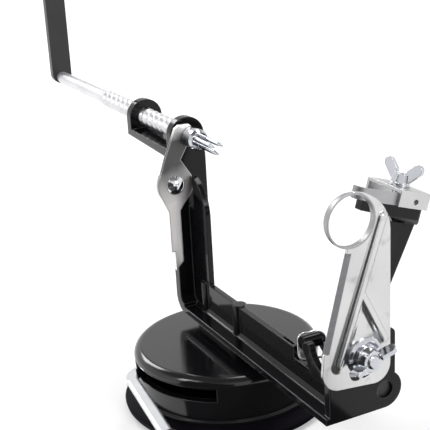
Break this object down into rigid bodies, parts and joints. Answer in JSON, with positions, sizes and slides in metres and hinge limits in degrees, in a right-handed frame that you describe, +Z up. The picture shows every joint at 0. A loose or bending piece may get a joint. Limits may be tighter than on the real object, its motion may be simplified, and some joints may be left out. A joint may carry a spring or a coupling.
{
  "type": "apple peeler",
  "caption": "Hand-cranked apple peeler with a lead screw, half-nut latch, swinging peeling arm, slicer plate with corer ring, and a suction base.",
  "frame": {"origin": "centre of the suction foot on the table", "axes": "+X along the shaft from the crank to the slicer, +Y to the peeling arm's side, +Z up"},
  "size_m": [0.4148, 0.1285, 0.227],
  "materials": {
    "enamel": "glossy black enamel on cast metal",
    "rubber": "matt dark rubber",
    "steel": "satin steel",
    "bright_zinc": "bright plated steel",
    "satin_black": "satin black",
    "black_plastic": "smooth black plastic"
  },
  "bodies": {
    "frame": {"base_housing": "enamel", "suction_foot": "rubber", "suction_diaphragm": "rubber", "rotor_clip": "steel", "base_screws": "bright_zinc", "frame_casting": "enamel", "latch_rivet": "bright_zinc", "latch_spring": "steel", "arm_pivot_pin": "satin_black", "arm_clip": "steel", "arm_spring": "steel", "slicer_bolt": "bright_zinc", "slicer_washer": "bright_zinc"},
    "carriage": {"fork_collar": "bright_zinc"},
    "shaft": {"lead_screw": "bright_zinc", "apple_fork": "bright_zinc", "crank_arm": "satin_black", "knob_spindle": "bright_zinc"},
    "knob": {"crank_knob": "black_plastic"},
    "latch": {"latch_lever": "steel"},
    "arm": {"peeling_arm": "enamel", "peeling_blade": "bright_zinc", "blade_clamp": "steel", "clamp_bolt": "bright_zinc"},
    "clamp_nut": {"clamp_wing_nut": "bright_zinc"},
    "slicer": {"slicer_plate": "steel", "corer_ring": "steel"},
    "slicer_nut": {"slicer_wing_nut": "bright_zinc"},
    "lever": {"suction_lever": "bright_zinc", "lever_rotor": "steel", "lever_grip": "black_plastic"},
    "plunger": {"suction_plunger": "steel", "plunger_pin": "steel"}
  },
  "joints": [
    {"name": "shaft_feed", "type": "slide", "parent": "frame", "child": "carriage", "axis": [1, 0, 0], "range_m": [0, 0.118]},
    {"name": "shaft_spin", "type": "hinge", "parent": "carriage", "child": "shaft", "pos_m": [0, 0, 0.135], "axis": [1, 0, 0], "range_deg": [0, 6069]},
    {"name": "knob_turn", "type": "hinge", "parent": "shaft", "child": "knob", "pos_m": [-0.26, 0, 0.215], "axis": [1, 0, 0], "continuous": true},
    {"name": "latch_swing", "type": "hinge", "parent": "frame", "child": "latch", "pos_m": [-0.029, -0.0104, 0.1108], "axis": [1, 0, 0], "range_deg": [0, 6.5], "stiffness_Nm_per_rad": 0.3, "springref_deg": -5.73, "deforming": ["latch_spring"]},
    {"name": "arm_swing", "type": "hinge", "parent": "frame", "child": "arm", "pos_m": [0.088, 0.0206, 0.0472], "axis": [1, 0, 0], "range_deg": [-15, 12], "deforming": ["arm_spring"]},
    {"name": "clamp_nut_turn", "type": "hinge", "parent": "arm", "child": "clamp_nut", "pos_m": [0.0785, 0.04919, 0.11265], "axis": [0, 0.3007, 0.9537], "continuous": true},
    {"name": "slicer_lift", "type": "slide", "parent": "frame", "child": "slicer", "axis": [0, 0, 1], "range_m": [0, 0.0062]},
    {"name": "slicer_nut_turn", "type": "hinge", "parent": "frame", "child": "slicer_nut", "pos_m": [0.12, 0.009, 0.067], "axis": [1, 0, 0], "continuous": true},
    {"name": "lever_turn", "type": "hinge", "parent": "frame", "child": "lever", "pos_m": [0, 0, 0.023], "axis": [0, 0, 1], "range_deg": [0, 58]},
    {"name": "plunger_drop", "type": "slide", "parent": "frame", "child": "plunger", "axis": [0, 0, 1], "range_m": [-0.0026, 0], "deforming": ["suction_diaphragm"]}
  ],
  "couplings": [
    {"joint": "shaft_spin", "follows": "shaft_feed", "rad_per_m": 897.6},
    {"joint": "plunger_drop", "follows": "lever_turn", "m_per_rad": -0.0024697}
  ]
}
